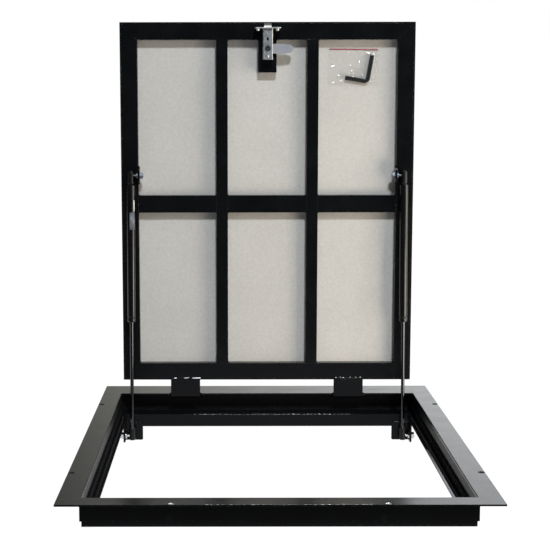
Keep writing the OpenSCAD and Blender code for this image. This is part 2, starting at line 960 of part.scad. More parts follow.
// Return spring between the bolt's shoulder and the stop inside the case
module latch_spring() {
    wire = 0.9;
    coil_r = 2.6;
    turns = 8;
    steps = 10;
    sides = 6;
    start = bolt_shoulder + wire / 2;
    pitch = (spring_stop_y - wire / 2 - start) / turns;
    rings = turns * steps;
    spring_z = (tail_low + tail_t + case_h / 2 - case_t) / 2;
    section = [for (k = [0 : sides - 1])
        wire / 2 * [cos(k * 360 / sides), sin(k * 360 / sides)]];
    points = [for (i = [0 : rings]) for (q = section)
        let (t = i * 360 / steps)
            [(coil_r + q[0]) * cos(t), (coil_r + q[0]) * sin(t), pitch * i / steps + q[1]]];
    walls = [for (i = [0 : rings - 1]) for (k = [0 : sides - 1])
        let (a = i * sides, n = (k + 1) % sides) [a + k, a + n, a + sides + n, a + sides + k]];
    caps = [
        [for (k = [sides - 1 : -1 : 0]) k],
        [for (k = [0 : sides - 1]) rings * sides + k]
    ];
    color(zinc) on_lid() translate([0, start, case_mid_z + spring_z]) rotate([-90, 0, 0])
        polyhedron(points, concat(walls, caps));
}

// Hub with a hexagonal hole for the key and a nose that draws the bolt's tail
module latch_hub() {
    low = case_top - case_h - 0.4;
    high = lid_under - 1;
    color(zinc) on_lid() translate([0, hub_y, 0]) difference() {
        union() {
            translate([0, 0, low]) cylinder(h = high - low, d = hub_d);
            translate([0, 0, case_mid_z + tail_low]) rotate([0, 0, -nose_lead])
                block([0, -nose_w / 2, 0], [nose_r, nose_w / 2, tail_t]);
        }
        translate([0, 0, low - eps])
            cylinder(h = high - low + 2 * eps, d = hub_hex / cos(30), $fn = 6);
    }
}

// Release lever of clear nylon, clamped on the hub between case and lid
module latch_lever() {
    ring_d = lever_w + 3;
    tip_d = 17;
    color("#d8dce0") on_lid() translate([0, hub_y, lever_top - lever_t]) difference() {
        union() {
            cylinder(h = lever_t, d = ring_d);
            linear_extrude(lever_t) polygon([
                [0, -lever_w / 2], [lever_l - tip_d, -lever_w / 2], [lever_l - tip_d / 2, -tip_d / 2],
                [lever_l - tip_d / 2, tip_d / 2], [lever_l - tip_d, lever_w / 2], [0, lever_w / 2]
            ]);
            translate([lever_l - tip_d / 2, 0, 0]) cylinder(h = lever_t, d = tip_d);
        }
        translate([0, 0, -eps]) cylinder(h = lever_t + 2 * eps, d = hub_d + running_fit);
    }
}

// Hex key with a round bend between its legs
module hex_key() {
    bend_r = 9;
    tilt = 10;
    color(steel_black) on_lid() translate([key_x, key_y, board_under - bag_t / 2])
        rotate([0, 0, tilt]) {
            translate([-bend_r, -bend_r, 0]) rotate_extrude(angle = 90)
                translate([bend_r, 0]) key_section();
            translate([0, -bend_r, 0]) rotate([90, 0, 0])
                linear_extrude(key_long - bend_r) key_section();
            translate([-bend_r, 0, 0]) rotate([90, 0, 90])
                translate([0, 0, bend_r - key_short]) linear_extrude(key_short - bend_r)
                    key_section();
        }
}

module key_section() {
    circle(d = key_af / cos(30), $fn = 6);
}

// Zip bag that holds the key, stuck to the board
module key_bag() {
    color("#dfe3e6") on_lid() translate([bag_x, bag_y, board_under - bag_t]) difference() {
        linear_extrude(bag_t) square([bag_w, bag_l], center = true);
        translate([0, 0, bag_film]) linear_extrude(bag_t - 2 * bag_film)
            square([bag_w - 2 * bag_film, bag_l - 2 * bag_film], center = true);
    }
}

frame_front();
frame_rear();
frame_left();
frame_right();
rear_strip();
seat_front();
seat_left();
seat_right();
seat_rear();
seal_front();
seal_left();
seal_right();
hinge_lugs_left();
hinge_lugs_right();
hinge_pin_left();
hinge_pin_right();
hinge_arm_left();
hinge_arm_right();
strut_bracket_left();
strut_bracket_right();
lower_ball_stud_left();
lower_ball_stud_right();
lower_stud_nut_left();
lower_stud_nut_right();
strut_rod_end_left();
strut_rod_end_right();
strut_rod_left();
strut_rod_right();
strut_tube_left();
strut_tube_right();
strut_tube_end_left();
strut_tube_end_right();
upper_ball_left();
upper_ball_right();
upper_ball_stud_left();
upper_ball_stud_right();
upper_stud_nut_left();
upper_stud_nut_right();
strut_lug_left();
strut_lug_right();
lid_rim_sides();
lid_rim_ends();
lid_tube_front();
lid_tube_rear();
lid_tube_left();
lid_tube_right();
stiffener_left();
stiffener_right();
crossbars();
lid_board();
latch_box();
latch_case();
latch_faceplate();
latch_spacers();
latch_bolt();
latch_spring();
latch_hub();
latch_lever();
hex_key();
key_bag();
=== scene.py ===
# Floor access hatch standing open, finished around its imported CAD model
import math
import random

import bmesh
import bpy
from mathutils import Matrix, Vector, noise


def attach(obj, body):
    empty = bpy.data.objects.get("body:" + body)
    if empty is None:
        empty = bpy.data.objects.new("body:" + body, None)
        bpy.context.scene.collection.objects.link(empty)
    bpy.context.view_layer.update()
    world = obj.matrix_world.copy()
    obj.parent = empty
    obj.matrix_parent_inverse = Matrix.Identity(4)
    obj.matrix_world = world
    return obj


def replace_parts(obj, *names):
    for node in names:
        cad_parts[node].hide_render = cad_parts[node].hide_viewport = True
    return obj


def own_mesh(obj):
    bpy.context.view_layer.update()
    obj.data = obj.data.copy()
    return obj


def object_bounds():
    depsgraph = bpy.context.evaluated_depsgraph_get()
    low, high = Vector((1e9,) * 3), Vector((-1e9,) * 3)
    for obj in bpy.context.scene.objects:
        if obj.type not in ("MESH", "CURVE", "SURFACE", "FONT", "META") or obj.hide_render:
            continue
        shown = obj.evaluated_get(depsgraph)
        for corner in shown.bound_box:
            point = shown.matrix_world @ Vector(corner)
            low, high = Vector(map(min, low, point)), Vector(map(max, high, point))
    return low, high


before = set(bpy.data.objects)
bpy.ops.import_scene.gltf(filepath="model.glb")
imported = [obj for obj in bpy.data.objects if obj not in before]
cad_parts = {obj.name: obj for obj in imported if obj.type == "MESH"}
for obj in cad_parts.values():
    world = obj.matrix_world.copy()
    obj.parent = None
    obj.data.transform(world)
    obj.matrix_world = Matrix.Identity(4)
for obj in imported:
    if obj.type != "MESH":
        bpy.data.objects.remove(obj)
cad_low, cad_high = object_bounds()
scene = bpy.context.scene

# Camera
# A long lens at table height, a little left of the hatch's middle. The
# picture is cut from a wider one, so the lens is shifted.
picture_px = 550
focal_px = 1321.3
centre_px = (230.17, 285.88)
camera_place = (-0.0778, -2.5512, 0.6457)
heading, pitch, roll = 0.095, 90 - 7.705, -0.096
camera_data = bpy.data.cameras.new("camera")
camera_data.sensor_width = 36
camera_data.lens = focal_px * camera_data.sensor_width / picture_px
camera_data.shift_x = 0.5 - centre_px[0] / picture_px
camera_data.shift_y = centre_px[1] / picture_px - 0.5
camera = bpy.data.objects.new("camera", camera_data)
camera.matrix_world = (
    Matrix.Translation(camera_place)
    @ Matrix.Rotation(math.radians(heading), 4, "Z")
    @ Matrix.Rotation(math.radians(pitch), 4, "X")
    @ Matrix.Rotation(math.radians(roll), 4, "Z")
)
scene.collection.objects.link(camera)
scene.camera = camera
scene.view_settings.view_transform = "Standard"


# Studio
# White paper behind and below, one soft lamp above and in front, a warm window
# to the right and a weak warm lamp low beside the frame. The room is dark.
def linear(hex_colour):
    """A hex colour as written on screen, as linear red, green, blue and alpha."""
    parts = [int(hex_colour[i : i + 2], 16) / 255 for i in (1, 3, 5)]
    return (
        *[p / 12.92 if p <= 0.04045 else ((p + 0.055) / 1.055) ** 2.4 for p in parts],
        1,
    )


def feed(tree, node, values=None, links=None):
    """Sets a node's input values and joins its links."""
    for key, value in (values or {}).items():
        node.inputs[key].default_value = value
    for key, (source, output) in (links or {}).items():
        tree.links.new(source.outputs[output], node.inputs[key])


def add(tree, kind, values=None, links=None, **settings):
    """Adds a node with its settings, its input values and its links."""
    node = tree.nodes.new(kind)
    for key, value in settings.items():
        setattr(node, key, value)
    feed(tree, node, values, links)
    return node


def axes(tree, coordinates="Object"):
    """A place, split into X, Y and Z."""
    place = add(tree, "ShaderNodeTexCoord")
    return add(tree, "ShaderNodeSeparateXYZ", links={"Vector": (place, coordinates)})


def ramp(tree, source, before, after=(0, 1)):
    """Maps an output from one range to another, held at its ends."""
    low, high = before
    first, last = after
    return add(
        tree,
        "ShaderNodeMapRange",
        {"From Min": low, "From Max": high, "To Min": first, "To Max": last},
        {"Value": source},
    )


def combine(tree, operation, first, second):
    """Joins two outputs into one number."""
    return add(tree, "ShaderNodeMath", links={0: first, 1: second}, operation=operation)


def blend(tree, dark, light, share):
    """Mixes two hex colours by an output."""
    return add(
        tree,
        "ShaderNodeMix",
        {"A": linear(dark), "B": linear(light)},
        {"Factor": share},
        data_type="RGBA",
    )


def seen_rays(tree, ray):
    """One where the camera looks straight at something or through film."""
    return combine(tree, "MAXIMUM", (ray, "Is Camera Ray"), (ray, "Is Transmission Ray"))


room_level = 0.04
world = bpy.data.worlds.new("studio")
scene.world = world
world.use_nodes = True
walls = world.node_tree
walls.nodes.clear()
direction = axes(walls, "Generated")
# the paper behind the hatch is brighter towards the right
back_paper = ramp(walls, (direction, "X"), (-0.15, 0.16), (0.165, 2.2))
behind = ramp(walls, (direction, "Y"), (0, 0.35))
# and ends on the left, where the studio is dark
left_end = ramp(walls, (direction, "X"), (-0.4, -0.2), (0.1, 1))
paper_there = combine(walls, "MULTIPLY", (behind, 0), (left_end, 0))
back_level = combine(walls, "MULTIPLY", (back_paper, 0), (paper_there, 0))
right_level = ramp(walls, (direction, "X"), (0.3, 0.9), (0, 0.7))
bright_level = combine(walls, "MAXIMUM", (back_level, 0), (right_level, 0))
wall_level = add(walls, "ShaderNodeMath", {1: room_level}, {0: (bright_level, 0)}, operation="ADD")
# and a little warmer towards the left
tint = ramp(walls, (direction, "X"), (-0.2, 0.2))
wall_colour = blend(walls, "#fffcef", "#f8fbff", (tint, 0))
wall_light = add(
    walls,
    "ShaderNodeBackground",
    links={"Color": (wall_colour, "Result"), "Strength": (wall_level, 0)},
)
white_light = add(walls, "ShaderNodeBackground", {"Color": linear("#ffffff"), "Strength": 1})
seen = seen_rays(walls, add(walls, "ShaderNodeLightPath"))
sky = add(
    walls,
    "ShaderNodeMixShader",
    links={0: (seen, 0), 1: (wall_light, 0), 2: (white_light, 0)},
)
add(walls, "ShaderNodeOutputWorld", links={"Surface": (sky, 0)})


def softbox(name, shape, size, energy, colour, place):
    """A soft lamp at a place, turned to the middle of the lid."""
    data = bpy.data.lights.new(name, "AREA")
    data.shape = shape
    data.size = size
    data.energy = energy
    data.color = colour
    lamp = bpy.data.objects.new(name, data)
    lamp.location = place
    lamp.rotation_mode = "QUATERNION"
    lamp.rotation_quaternion = (place - lid_middle).to_track_quat("Z", "Y")
    lamp.visible_camera = False
    scene.collection.objects.link(lamp)


cool_light = (0.95, 1, 1.05)
warm_light = (1.17, 1.02, 0.81)
lid_middle = Vector((0, 0.407, 0.432))
lamp_way = Vector((0.145, -1, 0.885)).normalized()
lamp_reach = 12
main_place = lid_middle + lamp_way * lamp_reach
softbox("main_softbox", "DISK", size=1.5, energy=1015, colour=cool_light, place=main_place)
window_place = Vector((2.4, -0.35, 0.55))
softbox("side_window", "SQUARE", size=1.2, energy=29, colour=warm_light, place=window_place)
low_place = Vector((0.78, -0.15, 0.15))
softbox("low_softbox", "SQUARE", size=0.4, energy=3.5, colour=warm_light, place=low_place)

# Studio floor
# A white sheet just under the hatch, which keeps a faint shadow.
sweep = bpy.data.materials.new("white_paper")
sweep.use_nodes = True
paper = sweep.node_tree
paper.nodes.clear()
plain_share = 0.85
plain_level = 1.16
near_level = 0.12
sheet_level = 0.75
paper_ray = add(paper, "ShaderNodeLightPath")
seen = seen_rays(paper, paper_ray)
paper_share = add(
    paper,
    "ShaderNodeMath",
    {1: plain_share},
    {0: (seen, 0), 2: (paper_ray, "Is Glossy Ray")},
    operation="MULTIPLY_ADD",
)
# gloss paint mirrors a floor that is darker in front of the hatch
gloss_level = ramp(paper, (axes(paper), "Y"), (-0.62, -0.46), (near_level, sheet_level))
mirrored = combine(paper, "MULTIPLY", (paper_ray, "Is Glossy Ray"), (gloss_level, 0))
paper_level = add(
    paper,
    "ShaderNodeMath",
    {1: plain_level},
    {0: (seen, 0), 2: (mirrored, 0)},
    operation="MULTIPLY_ADD",
)
paper_matt = add(paper, "ShaderNodeBsdfDiffuse", {"Color": linear("#a8a8a8")})
paper_glow = add(paper, "ShaderNodeEmission", links={"Strength": (paper_level, 0)})
paper_mix = add(
    paper,
    "ShaderNodeMixShader",
    links={0: (paper_share, 0), 1: (paper_matt, 0), 2: (paper_glow, 0)},
)
add(paper, "ShaderNodeOutputMaterial", links={"Surface": (paper_mix, 0)})
floor_gap = 0.001
floor_z = cad_low.z - floor_gap
ground = bmesh.new()
bmesh.ops.create_grid(ground, size=8, matrix=Matrix.Translation((0, 0, floor_z)))
floor_mesh = bpy.data.meshes.new("floor")
ground.to_mesh(floor_mesh)
ground.free()
floor_mesh.materials.append(sweep)
floor = bpy.data.objects.new("floor", floor_mesh)
scene.collection.objects.link(floor)


# Welded steel
# Angle, flat bar and rectangular tube, mitred, welded and sprayed with satin
# black enamel. Its cut edges carry pale dashes, partly worn paint and partly
# painted glints of light.
def finish(name):
    """A new material: the material, its node tree and its shader, joined to the output."""
    material = bpy.data.materials.new(name)
    material.use_nodes = True
    tree = material.node_tree
    tree.nodes.clear()
    shader = add(tree, "ShaderNodeBsdfPrincipled")
    add(tree, "ShaderNodeOutputMaterial", links={"Surface": (shader, 0)})
    return material, tree, shader


def dress(material, *names):
    """Gives a finish to CAD nodes."""
    for name in names:
        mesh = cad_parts[name].data
        mesh.materials.clear()
        mesh.materials.append(material)


def both(*names):
    """The left and the right node of each name."""
    return [f"{name}_{side}" for name in names for side in ("left", "right")]


def grain(tree, scale, detail):
    """Cloudy noise in the coordinates of the piece."""
    place = add(tree, "ShaderNodeTexCoord")
    return add(
        tree,
        "ShaderNodeTexNoise",
        {"Scale": scale, "Detail": detail},
        {"Vector": (place, "Object")},
    )


def spread(tree, source, smooth, rough):
    """Roughness from smooth to rough, over the middle values of a noise."""
    return ramp(tree, (source, "Fac"), (0.3, 0.7), (smooth, rough))


def relief(tree, source, strength, distance):
    """Fine bumps as high as a noise."""
    return add(
        tree,
        "ShaderNodeBump",
        {"Strength": strength, "Distance": distance},
        {"Height": (source, "Fac")},
    )


def cover(tree, under, hex_colour, share):
    """Lays a hex colour over a mixed one, by an output."""
    return add(
        tree,
        "ShaderNodeMix",
        {"B": linear(hex_colour)},
        {"Factor": share, "A": (under, "Result")},
        data_type="RGBA",
    )


def enamel(name, dark, light, smooth, rough, edge_glint=0, leg_rough=0, ior=1.25):
    """Sprayed enamel: blotchy black, slight orange peel, and pale dashes on the edges, partly wear
    and partly painted glint.
    """
    material, tree, shader = finish(name)
    # blotches about 50 mm across
    blotch = grain(tree, scale=20, detail=5)
    colour = blend(tree, dark, light, (blotch, "Fac"))
    # orange peel about 2 mm across
    peel = grain(tree, scale=480, detail=3)
    rounded = add(tree, "ShaderNodeBevel", {"Radius": 0.0007}, samples=4)
    bump = relief(tree, peel, strength=0.12, distance=0.0003)
    feed(tree, bump, links={"Normal": (rounded, 0)})
    gloss = spread(tree, blotch, smooth, rough)
    # the legs below the flange were not rubbed smooth
    leg = ramp(tree, (axes(tree), "Z"), (-0.001, -0.004), (0, leg_rough))
    coarse = combine(tree, "ADD", (gloss, 0), (leg, 0))
    # pale dashes of about 4 mm along the edges: partly steel where the paint is worn, partly
    # painted glints
    surface = add(tree, "ShaderNodeNewGeometry")
    turn = add(
        tree,
        "ShaderNodeVectorMath",
        links={0: (rounded, 0), 1: (surface, "Normal")},
        operation="DOT_PRODUCT",
    )
    edge = ramp(tree, (turn, "Value"), (0.985, 0.93))
    dash = grain(tree, scale=170, detail=4)
    wear_and_glint_dash = ramp(tree, (dash, "Fac"), (0.58, 0.66), (0, edge_glint))
    edge_wear_and_glint = combine(tree, "MULTIPLY", (edge, 0), (wear_and_glint_dash, 0))
    paint = cover(tree, colour, "#b9bdc2", (edge_wear_and_glint, 0))
    feed(
        tree,
        shader,
        {"IOR": ior},
        {"Base Color": (paint, "Result"), "Roughness": (coarse, 0), "Normal": (bump, 0)},
    )
    return material


steel_paint = enamel(
    "satin_black_enamel",
    "#07080a",
    "#0d0f12",
    smooth=0.2,
    rough=0.3,
    edge_glint=0.3,
)
dress(
    steel_paint,
    "lid_rim_sides",
    "lid_rim_ends",
    "lid_tube_front",
    "lid_tube_rear",
    "crossbars",
    "latch_box",
    *both("lid_tube", "stiffener", "hinge_lugs", "hinge_arm", "strut_bracket", "strut_lug"),
)
frame_paint = enamel(
    "satin_black_frame_enamel",
    "#07080a",
    "#0d0f12",
    smooth=0.22,
    rough=0.27,
    edge_glint=0.3,
    leg_rough=0.2,
)
dress(
    frame_paint,
    "frame_front",
    "frame_rear",
    "rear_strip",
    "seat_front",
    "seat_rear",
    *both("frame"),
)
# the side shelves are dull with dust
dusty_paint = enamel(
    "dusty_black_enamel",
    "#07080a",
    "#0d0f12",
    smooth=0.8,
    rough=0.95,
    ior=1.12,
)
dress(dusty_paint, *both("seat"))


# Weld beads
# Rippled fillet welds, painted with the steel. Where the lid's arms were welded
# after painting, the bead is brushed and bare.
def piece(name, shape, material, body):
    """Makes a piece of a bmesh, with its finish, on a body of the frame."""
    mesh = bpy.data.meshes.new(name)
    shape.to_mesh(mesh)
    shape.free()
    mesh.materials.append(material)
    mesh.shade_smooth()
    made = bpy.data.objects.new(name, mesh)
    scene.collection.objects.link(made)
    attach(made, body)
    return made


def corners_of(made):
    """The corners in what a bmesh operator returns."""
    return [part for part in made if isinstance(part, bmesh.types.BMVert)]


def edges_at(corners):
    """The edges that meet at some corners."""
    return list({edge for corner in corners for edge in corner.link_edges})


def faces_at(corners):
    """The faces that meet at some corners."""
    return list({face for corner in corners for face in corner.link_faces})


def grow(shape, rim):
    """Extrudes a rim of edges in place, and returns the new corners and the new rim."""
    grown = bmesh.ops.extrude_edge_only(shape, edges=rim)["geom"]
    ring = corners_of(grown)
    rim = [
        part
        for part in grown
        if isinstance(part, bmesh.types.BMEdge) and all(c in ring for c in part.verts)
    ]
    return ring, rim


def weld(shape, start, end, radius, ripple=1.1):
    """Lays a rippled bead from start to end, in millimetres."""
    mm = 0.001
    end_size = 0.5
    start = Vector(start) * mm
    run = Vector(end) * mm - start
    steps = max(4, round(run.length / mm / ripple))
    turn = run.to_track_quat("Z", "Y").to_matrix().to_4x4()
    ring = bmesh.ops.create_circle(
        shape,
        segments=8,
        radius=radius * mm * end_size,
        matrix=Matrix.Translation(start) @ turn,
    )["verts"]
    rim = edges_at(ring)
    bmesh.ops.contextual_create(shape, geom=rim)
    size = end_size
    for step in range(1, steps + 1):
        ring, rim = grow(shape, rim)
        wobble = Vector([chance.uniform(-0.12, 0.12) * mm for _ in range(3)])
        bmesh.ops.translate(shape, vec=run / steps + wobble, verts=ring)
        next_size = (
            end_size if step == steps else (1 if step % 2 else 0.88) * chance.uniform(0.93, 1.07)
        )
        middle = sum((corner.co for corner in ring), Vector()) / len(ring)
        bmesh.ops.scale(
            shape,
            vec=Vector((1, 1, 1)) * next_size / size,
            space=Matrix.Translation(-middle),
            verts=ring,
        )
        size = next_size
    bmesh.ops.contextual_create(shape, geom=rim)


chance = random.Random(4)
# the radius of most beads, in millimetres
fillet = 2
frame_beads = bmesh.new()
lid_beads = bmesh.new()
for side in (-1, 1):
    for end in (-1, 1):
        mitre = (side * 329.5, end * 423.5)
        weld(frame_beads, (*mitre, -21), (*mitre, -1), fillet)
    wall = side * 331
    for middle in (-300, -100, 100, 300):
        weld(frame_beads, (wall, middle - 13, -37.8), (wall, middle + 13, -37.8), fillet)
    weld(frame_beads, (side * 325.5, 350, -63), (side * 325.5, 350, -40), fillet)
    weld(frame_beads, (side * 282, 349.5, -55), (side * 318, 349.5, -55), fillet)
    for lug_face in (145, 223):
        lug = side * lug_face
        weld(frame_beads, (lug, 413, -0.5), (lug, 423, -0.5), radius=1.6)
    for stiffener_face in (87.5, 112.5):
        stiffener = side * stiffener_face
        for joint in (72, 413, 451, 792):
            weld(lid_beads, (stiffener, 388.5, joint), (stiffener, 406, joint), fillet)
    for joint in (413, 451):
        weld(lid_beads, (side * 286, 388.5, joint), (side * 286, 406, joint), fillet)
    weld(lid_beads, (side * 20, 388.5, 792), (side * 20, 406, 792), fillet)
    for joint in (477, 515):
        strut_lug = side * 284.5
        weld(lid_beads, (strut_lug, 388, joint), (strut_lug, 394, joint), radius=1.8)
    weld(lid_beads, (side * 152, 386.4, 37.6), (side * 216, 386.4, 37.6), radius=2.5)
piece("frame_welds", frame_beads, steel_paint, "frame")
piece("lid_welds", lid_beads, steel_paint, "lid")

bare_steel, tree, shader = finish("brushed_bare_steel")
# brush marks about 1 mm apart
brush = grain(tree, scale=900, detail=3)
gloss = spread(tree, brush, smooth=0.28, rough=0.5)
bump = relief(tree, brush, strength=0.3, distance=0.0003)
feed(
    tree,
    shader,
    {"Base Color": linear("#dcdee2"), "Metallic": 1},
    {"Roughness": (gloss, 0), "Normal": (bump, 0)},
)
bare_beads = bmesh.new()
# start, end, radius and height of each bead: three wide brushed runs on the
# left arm and small spots on the right one
bare_spots = (
    (-211, -203, 1.3, 37.8),
    (-188, -175, 1.2, 38),
    (-169, -150, 1.6, 38),
    (154, 158, 0.9, 38.6),
    (165, 167, 0.8, 39.3),
    (171, 175, 0.9, 38.4),
    (187, 190, 0.8, 39.2),
    (199, 202, 0.9, 38.5),
    (209, 213, 1, 39.2),
)
for start, end, radius, height in bare_spots:
    weld(bare_beads, (start, 386 - radius, height), (end, 386.3 - radius, height + 0.3), radius)
piece("bare_arm_welds", bare_beads, bare_steel, "lid")


# Worn edges
# Boots and the lid rub the front flange's edge and the cross rail's, so marks of
# bare steel show there. A thin strip along the right shelf's inner edge carries a
# painted sheen, near black at the back and pale grey towards the front.
def wear(shape, start, end, radius):
    """Lays short marks along an edge from start to end, in millimetres."""
    spare_end = 9
    start = Vector(start)
    run = Vector(end) - start
    reach = 0
    while reach < run.length - spare_end:
        mark = chance.uniform(1.5, 8)
        near = start + run.normalized() * reach
        weld(shape, near, near + run.normalized() * mark, radius, ripple=1.6)
        reach += mark + chance.uniform(0.5, 6)


marks = bmesh.new()
wear(marks, (-123, -463.3, 2.85), (156, -463.3, 2.85), radius=0.34)
wear(marks, (-165, 349.9, -37.6), (197, 349.9, -37.6), radius=0.32)
piece("worn_edge_marks", marks, bare_steel, "frame")
shelf_sheen_finish, tree, shader = finish("painted_sheen_grey")
# painted sheen: the strip turns from pale grey at the front to near black at the back
sheen_towards_front = ramp(tree, (axes(tree), "Y"), (0.06, -0.13))
colour = blend(tree, "#0b0c0e", "#a2a4a9", (sheen_towards_front, 0))
feed(tree, shader, {"Roughness": 0.5}, {"Base Color": (colour, "Result")})
sheen_strip_low = Vector((314.85, -423, -46.9))
sheen_strip_high = Vector((318.6, 60, -42.85))
sheen_strip_size = (sheen_strip_high - sheen_strip_low) / 1000
sheen_strip_middle = (sheen_strip_low + sheen_strip_high) / 2000
sheen_strip = bmesh.new()
bmesh.ops.create_cube(
    sheen_strip,
    matrix=Matrix.Translation(sheen_strip_middle) @ Matrix.Diagonal((*sheen_strip_size, 1)),
)
piece("shelf_edge_painted_sheen", sheen_strip, shelf_sheen_finish, "frame").data.shade_flat()


# Seams
# Thin lines of paint-filled joint, where the rear strip meets the rear flange
# and where each side flange turns down.
def grained(name, dark, light, scale, detail, values, edge=0):
    """A finish of two hex colours mixed by a noise, with edges rounded by a radius."""
    material, tree, shader = finish(name)
    colour = blend(tree, dark, light, (grain(tree, scale, detail), "Fac"))
    feed(tree, shader, values, {"Base Color": (colour, "Result")})
    if edge:
        rounded = add(tree, "ShaderNodeBevel", {"Radius": edge}, samples=4)
        feed(tree, shader, links={"Normal": (rounded, 0)})
    return material


seams = bmesh.new()
seam_top = 2.8
weld(seams, (-329, 424, seam_top), (329, 424, seam_top), radius=0.4, ripple=15)
for seam in (-330.4, 330.4):
    weld(seams, (seam, -423, seam_top), (seam, 383, seam_top), radius=0.9, ripple=15)
seam_filler = grained(
    "matt_seam_filler",
    "#08090a",
    "#1c1e20",
    scale=300,
    detail=4,
    values={"Roughness": 0.8},
)
piece("frame_seams", seams, seam_filler, "frame")

# Screw holes
# Eight floor screws' holes. The four in the end flanges were drilled after
# painting, so their walls are bright. The other four get a matt black lining and
# a matt black ring round the rim, a painted shade that makes them read dark and wide.
hole_radius = 0.005
lining = 0.00008
sleeve_depth = 0.0028
sleeve_z = 0.0015
rim_reach = 0.0013
rim_skin = 0.0001
rim_z = 0.0031
for name, skin, slot_name, (hole_x, hole_y) in (
    ("drilled_holes", bare_steel, "zinc_plate", (0.178, 0.4575)),
    ("painted_shade_holes", seam_filler, "black_paint", (0.3635, 0.272)),
):
    sleeves = bmesh.new()
    for side in (-1, 1):
        for end in (-1, 1):
            sleeve = bmesh.ops.create_cone(
                sleeves,
                segments=40,
                radius1=hole_radius - lining,
                radius2=hole_radius - lining,
                depth=sleeve_depth,
                matrix=Matrix.Translation((side * hole_x, end * hole_y, sleeve_z)),
            )["verts"]
            bmesh.ops.solidify(sleeves, geom=faces_at(sleeve), thickness=lining / 2)
            if skin is bare_steel:
                continue
            # paint pulled up round the rim
            rim = bmesh.ops.create_cone(
                # a matt black ring round the rim, painted shade that widens the dark of the hole
                sleeves,
                segments=40,
                radius1=hole_radius + rim_reach,
                radius2=hole_radius - 2 * lining,
                depth=rim_skin,
                matrix=Matrix.Translation((side * hole_x, end * hole_y, rim_z)),
            )["verts"]
            bmesh.ops.solidify(sleeves, geom=faces_at(rim), thickness=-rim_skin)
    piece(name, sleeves, skin, "frame")

# Rubber seal
# An extruded bulb seal, matt black and a little dusty, lies along the shelf
# under the lid's rim and leaves the shelf's edge bare.
seal = grained(
    "extruded_rubber",
    "#050505",
    "#0e0e0e",
    scale=60,
    detail=6,
    values={"Roughness": 0.95, "Specular IOR Level": 0.2},
)
bulb_radius = 0.0025
bulb_x, bulb_z = 321.5, -40.7
seal_runs = {
    "seal_front": ((-bulb_x, -416, bulb_z), (bulb_x, -416, bulb_z)),
    "seal_left": ((-bulb_x, -418, bulb_z), (-bulb_x, 349, bulb_z)),
    "seal_right": ((bulb_x, -418, bulb_z), (bulb_x, 349, bulb_z)),
}
for name, (start, end) in seal_runs.items():
    start, end = Vector(start) / 1000, Vector(end) / 1000
    turn = (end - start).to_track_quat("Z", "Y").to_matrix().to_4x4()
    bulb = bmesh.new()
    bmesh.ops.create_cone(
        bulb,
        cap_ends=True,
        segments=24,
        radius1=bulb_radius,
        radius2=bulb_radius,
        depth=(end - start).length,
        matrix=Matrix.Translation((start + end) / 2) @ turn,
    )
    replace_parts(piece(f"bulb_{name}", bulb, seal, "frame"), name)


# Zinc-plated hardware
# Pressed and turned steel with zinc, bright on the latch and the hinge pins. The
# upper ball studs get a darker, rougher copy of the zinc, a painted shade, and
# the lower ones a paler, smoother copy, painted light.
def plated(name, dark, light, smooth, rough):
    """Zinc plate: cloudy crystals about 2 mm across, and slightly rounded edges."""
    material, tree, shader = finish(name)
    cloud = grain(tree, scale=420, detail=4)
    colour = blend(tree, dark, light, (cloud, "Fac"))
    gloss = spread(tree, cloud, smooth, rough)
    rounded = add(tree, "ShaderNodeBevel", {"Radius": 0.0004}, samples=4)
    feed(
        tree,
        shader,
        {"Metallic": 1},
        {"Base Color": (colour, "Result"), "Roughness": (gloss, 0), "Normal": (rounded, 0)},
    )
    return material


bright_zinc = plated("bright_zinc_plate", "#959a9e", "#d6dade", smooth=0.32, rough=0.5)
dress(bright_zinc, "latch_case", "latch_spacers", *both("hinge_pin"))
plate_zinc = plated("rolled_zinc_plate", "#c2c6ca", "#eceff2", smooth=0.36, rough=0.5)
dress(plate_zinc, "latch_faceplate")
# upper ball studs: a darker copy of the zinc, painted shade
upper_zinc_painted_shade = plated("zinc_plate_with_painted_shade", "#5d636b", "#858c95", smooth=0.42, rough=0.56)
dress(upper_zinc_painted_shade, *both("upper_ball", "upper_ball_stud", "upper_stud_nut"))
# lower ball studs: a paler copy of the zinc, painted light
lower_zinc_painted_light = plated("polished_zinc_with_painted_light", "#d0d4d8", "#f2f4f6", smooth=0.2, rough=0.3)
dress(lower_zinc_painted_light, *both("lower_ball_stud", "lower_stud_nut"))

# Latch bolt
# Zinc-plated steel. Its nose stands out of the faceplate, painted with a white
# highlight at its root that fades to a grey painted shade at its tip, and its
# tail inside the case is painted black as shade.
bolt_painted_light, tree, shader = finish("zinc_with_painted_light_and_shade")
case_mouth = 0.808
shade_fade = 0.003
height = axes(tree)
# painted shade: black below the case's mouth
shade_in_case = ramp(tree, (height, "Z"), (case_mouth, case_mouth - shade_fade))
# painted highlight: white at the nose's root, fading to grey shade at the tip
shade_to_tip = ramp(tree, (height, "Z"), (0.8192, 0.8228))
nose_highlight = blend(tree, "#ffffff", "#5c5953", (shade_to_tip, 0))
colour = cover(tree, nose_highlight, "#0a0a0a", (shade_in_case, 0))
feed(tree, shader, {"Roughness": 0.42, "Metallic": 0.3}, {"Base Color": (colour, "Result")})
dress(bolt_painted_light, "latch_bolt")

# Latch hub and spring
# A hub pressed from steel powder, dark and oily, turned by the hexagon key. The
# spring is oiled wire.
coil_foot = Vector((0, 0.3712, 0.7805))
coil_radius = 0.0026
wire_radius = 0.00045
coil_turns = 8
coil_rise = 0.02395
coil_steps = 128
